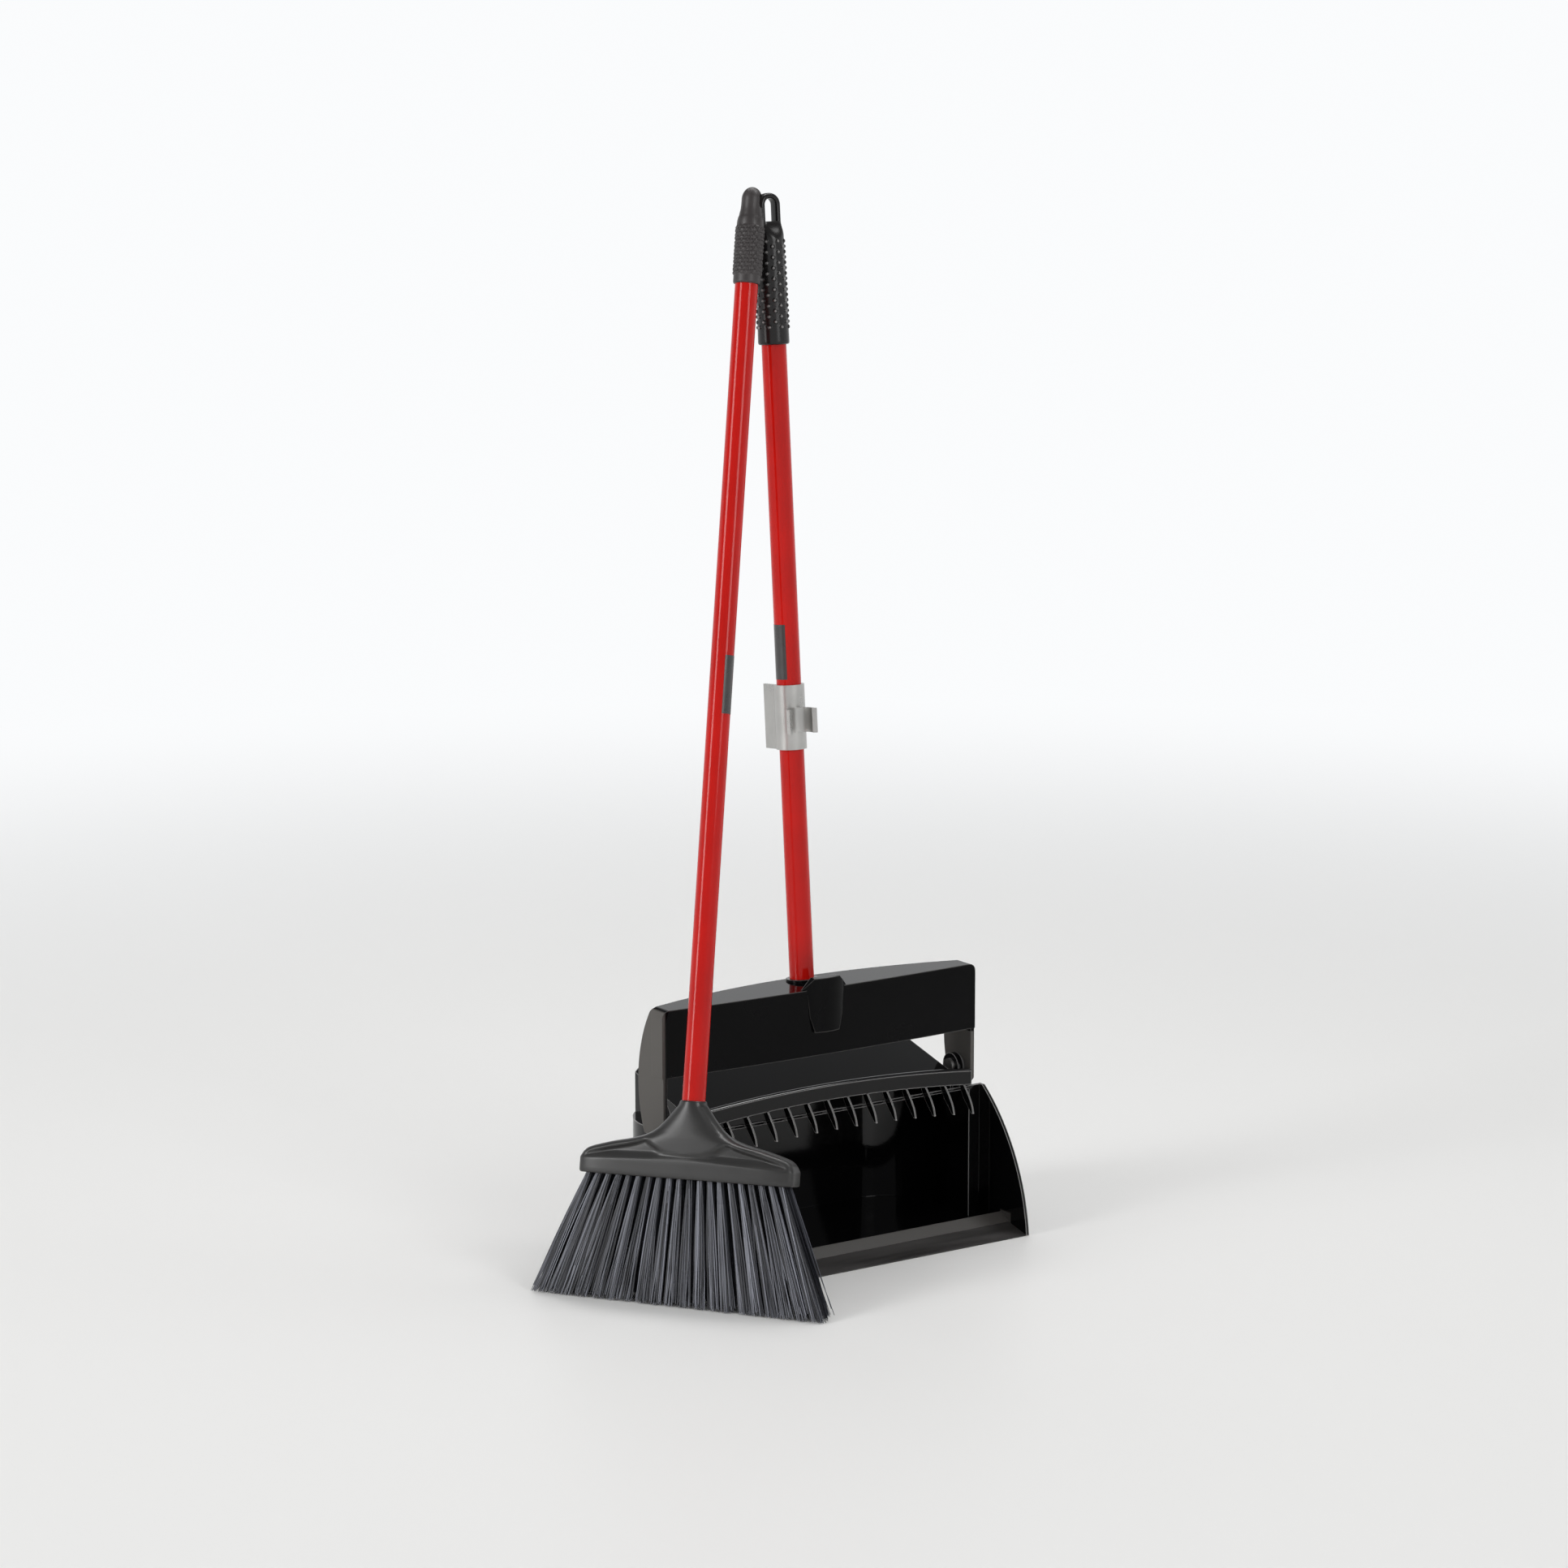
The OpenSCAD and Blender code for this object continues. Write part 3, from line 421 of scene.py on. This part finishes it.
def tint_by(paint, attribute, across, colour):
    """Turns a paint to a colour where the mesh's own attribute runs over the span across."""
    marks = paint.node_tree.nodes.new("ShaderNodeAttribute")
    marks.attribute_name = attribute
    share = span(paint.node_tree, marks.outputs["Fac"], across, (0, 1))
    repaint(paint, "Base Color", "RGBA", share, (*colour, 1))


def mark(made, attribute, values):
    """Writes one number for each point of a piece as an attribute that its paint can read."""
    made.data.attributes.new(attribute, "FLOAT", "POINT").data.foreach_set("value", values)


pan_grip_at, tube_end, sleeve_top = [0, 0, 570], 92, 108
sleeve_foot_r, sleeve_mid_r, taper_run = 14, 13.5, 94
loop_half, slot_half, loop_half_y, neck_half_y = 10.5, 5.5, 5.5, 7.0
up = np.concatenate([[0, 0.25, 0.7, 1.4], np.linspace(2.2, sleeve_top, 196)])
sleeve_r = sleeve_foot_r - up / taper_run
foot_in = rounding(up, 1.6, 2.2)
flat = ease(up, tube_end, sleeve_top)
sleeve = stack(up, sleeve_r * (1 - flat) + loop_half * flat - foot_in,
               sleeve_r * (1 - flat) + neck_half_y * flat - foot_in, 2 + 2 * flat, 160)
column_step, row_step, first_row, last_row = 22.5, 9.4, 15.3, 8
nub_r, nub_high = 1.7, 1.4
turn = np.degrees(np.arctan2(sleeve[..., 1], sleeve[..., 0])) % 360
column = np.round(turn / column_step)
odd = column % 2
across = np.radians(turn - column_step * column) * sleeve_mid_r
along = sleeve[..., 2] - (first_row + row_step / 2 * odd)
along = along - row_step * np.clip(np.round(along / row_step), 0, last_row - odd)
nub = np.sqrt(np.clip(1 - (across ** 2 + along ** 2) / nub_r ** 2, 0, 1))
sleeve[..., :2] *= 1 + (nub_high * nub / np.hypot(sleeve[..., 0], sleeve[..., 1]))[..., None]
bar_mid, bar_half = (loop_half + slot_half) / 2, (loop_half - slot_half) / 2
leg_top, bend_at, leg_rings = 121.5, 122.5, 9
bend = np.linspace(np.pi, 0, 33)
leg, side = np.linspace(tube_end, leg_top, leg_rings), np.ones(leg_rings)
away_x = np.concatenate([-side, np.cos(bend), side])[:, None]
away_z = np.concatenate([0 * side, np.sin(bend), 0 * side])[:, None]
path_x = bar_mid * away_x
path_z = np.concatenate([leg, bend_at + bar_mid * np.sin(bend), leg[::-1]])[:, None]
a, b = outline(28, 3.2)
loop = np.stack(np.broadcast_arrays(path_x + bar_half * a * away_x, -loop_half_y * b,
                                    path_z + bar_half * a * away_z), -1)
grip_rubber = finish("grip_rubber", (0.010, 0.0088, 0.0090), 0.22, 1600, 0.00002, 0.04, 30.0, specular=0.32)
# The pale colour at the nub tips is a painted highlight.
tint_by(grip_rubber, "nub", across=(0.62, 0.97), colour=(0.27, 0.26, 0.255))
pan_grip = piece("pan_grip_nubs", [shell(on_handle(part + pan_grip_at)) for part in (sleeve, loop)],
                 grip_rubber, "handle_frame", crease=70)
mark(pan_grip, "nub", np.concatenate([nub.ravel(), np.zeros(loop[..., 0].size)]))
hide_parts("pan_grip")


# Clip: a sprung sleeve with a hook, moulded in plastic and metallised to a silver grey.
# The sleeve snaps round the pan's tube from the front, and the hook holds the broom's tube.
clip_silver = finish("clip_silver", (0.43, 0.425, 0.41), 0.30, 900, 0.000004, 0.04, 40.0, tone=0.08)
clip_silver.node_tree.nodes["Principled BSDF"].inputs["Metallic"].default_value = 0.75
paint_node("broom_clip", clip_silver)


# Broom head: a charcoal moulding, a bell from a straight skirt up to a round neck with a thread inside.
# A shallow dish is sunk in each wing, front and back, so that the neck stands out as a ridge.
broom_way, broom_lean, broom_twist = 41.299, 14.363, 5
broom_turn = turn_about(2, broom_way - 90) @ turn_about(0, -broom_lean) @ turn_about(2, -broom_twist)
broom_foot = [-200.127, -68.282, 0]


def on_broom(points, height=0):
    """Millimetres along and across the broom's axis, from a height on it, to the frame's metres."""
    return ((points + [0, 0, height]) @ broom_turn.T + broom_foot) / 1000


def smoothed(values, window):
    """A running mean of values, weighted by the window, with the end values held beyond the ends."""
    return np.convolve(np.pad(values, len(window) // 2, mode="edge"), window / window.sum(), mode="valid")


head_at, skirt, neck_top = 108, 13, 68
skirt_half_x, skirt_half_y = 99.5, 16
head_z = np.array([0, skirt, 14, 18, 21.5, 24, 29, 32.5, 35.5, 39, 43.5, 51, 58.5, 64, neck_top])
head_x = np.array([skirt_half_x, skirt_half_x, 99, 97, 93.6, 87.6, 69.7, 52.7, 42.8, 35.8, 29.8, 22.9, 17,
                   12.6, 11.6])
head_y = np.interp(head_z, [0, skirt, 18, 35, 50, neck_top],
                   [skirt_half_y, skirt_half_y, 15.6, 15, 13.6, 11.7])
fine_z = np.linspace(skirt, neck_top, 400)
bell_window = np.hanning(31)
fine_x = smoothed(np.interp(fine_z, head_z, head_x), bell_window)
fine_y = smoothed(np.interp(fine_z, head_z, head_y), bell_window)
up = np.concatenate([[0, 0.4, 1.2, 2.2, 5, 8, 10, 11.5, 12.6], np.linspace(13.4, 66.8, 90), [67.5, neck_top]])
trim = np.interp(up, [0, 0.4, 1.2, 2.2, 66.8, 67.5, neck_top], [1.6, 0.7, 0.2, 0, 0, 0.3, 1.1])
half_x = np.where(up < skirt, skirt_half_x, np.interp(up, fine_z, fine_x)) - trim
half_y = np.where(up < skirt, skirt_half_y, np.interp(up, fine_z, fine_y)) - trim
squareness = np.interp(up, [0, skirt, 24, 40, neck_top], [6, 6, 4.2, 2.6, 2.0])
head = stack(up, half_x, half_y, squareness, 288)
out, y, z = np.abs(head[..., 0]), head[..., 1], head[..., 2]
dish_top = np.interp(out, head_x[::-1], head_z[::-1]) - 3.5
dish_low = 15.5 - 4 * out / 100
ridge = z - 12
dish = ease(z, dish_low, dish_low + 9) * (1 - ease(z, dish_top - 5, dish_top))
dish = dish * ease(out, 2 + 1.5 * ridge, 10 + 1.7 * ridge) * (1 - ease(out, 90, 97))
dish_depth = 4.2
head[..., 1] = y - np.sign(y) * dish_depth * dish * np.clip(np.abs(y) / 8, 0, 1)
head_grey = finish("head_grey", (0.025, 0.0243, 0.0237), 0.33, 1300, 0.00005, 0.06, 22.0, tone=0.12)
broom_head = piece("broom_head_bell", [shell(on_broom(head, head_at))], head_grey, "broom",
                   crease=50)
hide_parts("broom_head")


# Broom tube: the same red coated steel, on a black threaded tip that screws into the head.
# The tip's lock pin is coated with the tube, so that only its edge shows. A second film label is stuck
# halfway up the tube.
for part in "broom_tube", "tip_lock_pin":
    paint_node(part, tube_red)
tip_black = finish("tip_black", (0.02, 0.02, 0.02), 0.5, 900, 0.00004)
paint_node("threaded_tip", tip_black)
broom_label = label(radius=10.2, low=513, high=564, start=305, end=405)
piece("broom_label", [shell(on_broom(broom_label))], film_grey, "broom")


# Bristles: four rows of drilled tufts of stiff dark synthetic strands, stapled into the head.
# The strands fan out to the floor, are trimmed level with it and have worn, ragged tips.
strand_rings, strand_sides = 6, 3
strand_points = strand_rings * strand_sides


def strands(feet, tips, thick, bow):
    """Three-sided strands from feet to tips, thinner at the tip. The middle of each is pushed out by its bow,
    as a half sine."""
    s = np.linspace(0, 1, strand_rings)[None, :, None]
    line = feet[:, None] * (1 - s) + tips[:, None] * s + bow[:, None] * np.sin(np.pi * s)
    corner = np.radians([90, 210, 330])
    rim = np.stack([np.cos(corner), np.sin(corner), np.zeros(strand_sides)], -1)
    width = thick * np.array([1, 1, 1, 0.95, 0.85, 0.6])[None, :, None, None]
    rings = line[:, :, None] + rim[None, None] * width
    first = strand_points * np.arange(len(feet))[:, None, None]
    i, j = np.meshgrid(np.arange(strand_rings - 1), np.arange(strand_sides), indexing="ij")
    here, beside = strand_sides * i + j, strand_sides * i + (j + 1) % strand_sides
    quad = np.stack([beside, here, here + strand_sides, beside + strand_sides], -1)
    quads = (first[..., None] + quad[None]).reshape(-1, 4)
    foot = np.arange(strand_sides)
    ends = (first + np.stack([foot, strand_points - 1 - foot])[None]).reshape(-1, strand_sides)
    return rings.reshape(-1, 3), quads.tolist() + ends.tolist()


bristle_blue = finish("bristle_blue", (0.010, 0.0105, 0.014), 0.30, 900, 0.00003, 0.05, 60.0, tone=0.0)
tint_by(bristle_blue, "tone", across=(0, 1), colour=(0.25, 0.258, 0.30))
tufts, tuft_strands, tuft_step, row_gap, row_half = 20, 52, 9.3, 6.4, 93
hole_r, hole_deep, strand_r, fan_x, fan_y = 2.3, 2.0, 0.54, 1.46, 1.04
tip_spread_x, tip_spread_y, tip_half_x = 5.6, 2.0, 137
stray_share, stray_far, floor_gap, ragged = 0.07, 5, 0.8, 6.5
# The two inner rows are painted darker, as painted shade between the outer rows.
row_painted_shade = {1: 1.0, 2: 0.3, 3: 0.3, 4: 1.0}
rng = np.random.default_rng(7)
tuft_x = -row_half + tuft_step * (np.arange(tufts) + 0.5)
hole = np.repeat(np.arange(tufts), tuft_strands)
count = hole.size
for row in 1, 2, 3, 4:
    row_y = (row - 2.5) * row_gap
    around, out = rng.uniform(0, 2 * np.pi, count), np.sqrt(rng.uniform(0, 1, count))
    side, front = out * np.cos(around), out * np.sin(around)
    feet = np.stack([tuft_x[hole] + hole_r * side, row_y + hole_r * front, np.full(count, hole_deep)], -1)
    lean = rng.normal(0, 1.0, tufts)[hole]
    stray = np.where(rng.uniform(0, 1, count) < stray_share, rng.normal(0, stray_far, count), 0)
    tip_x = fan_x * tuft_x[hole] + tip_spread_x * side + lean + stray + rng.normal(0, 1.1, count)
    tip_y = fan_y * row_y + tip_spread_y * front + rng.normal(0, 0.25, count).clip(-0.5, 0.5)
    short = floor_gap + ragged * rng.uniform(0, 1, count) ** 2.5
    tip_z = (short - broom_turn[2, 0] * tip_x - broom_turn[2, 1] * tip_y) / broom_turn[2, 2] - head_at
    tips = np.stack([tip_x.clip(-tip_half_x, tip_half_x), tip_y, tip_z], -1)
    bow = np.stack([rng.normal(0, 0.9, count), rng.normal(0, 0.3, count), np.zeros(count)], -1)
    points, faces = strands(feet, tips, strand_r, bow)
    brush = piece(f"bristle_tufts_{row}", [(on_broom(points, head_at), faces)], bristle_blue,
                  "broom", crease=75)
    # Each strand's colour wanders at random, and the inner rows take painted shade on top.
    strand_tone_and_shade = row_painted_shade[row] * rng.uniform(0, 1, count) ** 2.0
    mark(brush, "tone", np.repeat(strand_tone_and_shade, strand_points))
    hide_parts(f"bristle_row_{row}")


# Broom grip: a soft charcoal sleeve with a scale relief, pushed over the tube's top.
# Its shoulder draws in to a domed end with a hanging slot through it.
broom_grip_at, dome_at, dome_high = 891, 75, 11.02
up = np.concatenate([[0, 0.25, 0.7, 1.4], np.linspace(2, 60, 117), 62 + 13 * np.linspace(0, 1, 14),
                     dome_at + 10.9 * np.sin(np.linspace(0.12, np.pi / 2 - 0.03, 22))])
wide = np.interp(up, [0, 51, 56, 59, 62, 65, 67, dome_at], [12.0, 12.0, 11.8, 11.3, 10.5, 9.9, 9.65, 9.5])
wide = smoothed(wide, np.ones(9)) - rounding(up, 1.2, 2)
wide = wide * np.sqrt(np.clip(1 - ((up - dome_at).clip(0) / dome_high) ** 2, 0.0004, 1))
knob = stack(up, wide * np.interp(up, [54, 64], [1, 0.95]), wide, np.full(len(up), 2.0), 168)
cells_round, scale_high, relief = 14, 3.4, 0.085
cell = np.arctan2(knob[..., 1], knob[..., 0]) / (2 * np.pi) * cells_round
shift = (knob[..., 2] - 8) / scale_high
scale_row = np.floor(shift)
from_mid = np.abs((cell + 0.5 * (scale_row % 2)) % 1 - 0.5) * 2
leaf = np.clip((1 - from_mid ** 2) * (1 - (shift - scale_row) ** 2) * 1.6, 0, 1)
leaf = leaf * ease(knob[..., 2], 7, 9) * (1 - ease(knob[..., 2], 49, 52))
knob[..., :2] *= (1 + relief * leaf)[..., None]
grip_grey = finish("grip_grey", (0.036, 0.0305, 0.0305), 0.45, 1600, 0.00004, 0.06, 30.0, tone=0.15)
broom_grip = piece("broom_grip_scales", [shell(on_broom(knob, broom_grip_at))], grip_grey,
                   "broom", crease=75)
slot_r, slot_low, slot_high, cut_half = 3.5, 70.7, 76.3, 14.0
slot_turn = np.linspace(0, 2 * np.pi, 33)[:-1]
slot_z = slot_r * np.sin(slot_turn) + np.where(np.sin(slot_turn) > 1e-6, slot_high, slot_low)
cut_x = np.array([[-cut_half], [cut_half]])
cut = np.stack(np.broadcast_arrays(cut_x, slot_r * np.cos(slot_turn), slot_z), -1)
cutter_points, cutter_faces = shell(on_broom(cut, broom_grip_at))
cutter_mesh = bpy.data.meshes.new("slot_cutter")
cutter_mesh.from_pydata(cutter_points.tolist(), [], cutter_faces)
cutter = bpy.data.objects.new("slot_cutter", cutter_mesh)
bpy.context.scene.collection.objects.link(cutter)
bore = broom_grip.modifiers.new("slot", "BOOLEAN")
bore.operation, bore.solver, bore.object = "DIFFERENCE", "EXACT", cutter
bpy.context.view_layer.update()
bored = bpy.data.meshes.new_from_object(broom_grip.evaluated_get(bpy.context.evaluated_depsgraph_get()))
broom_grip.modifiers.clear()
broom_grip.data = bored
bpy.data.objects.remove(cutter)
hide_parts("broom_grip")
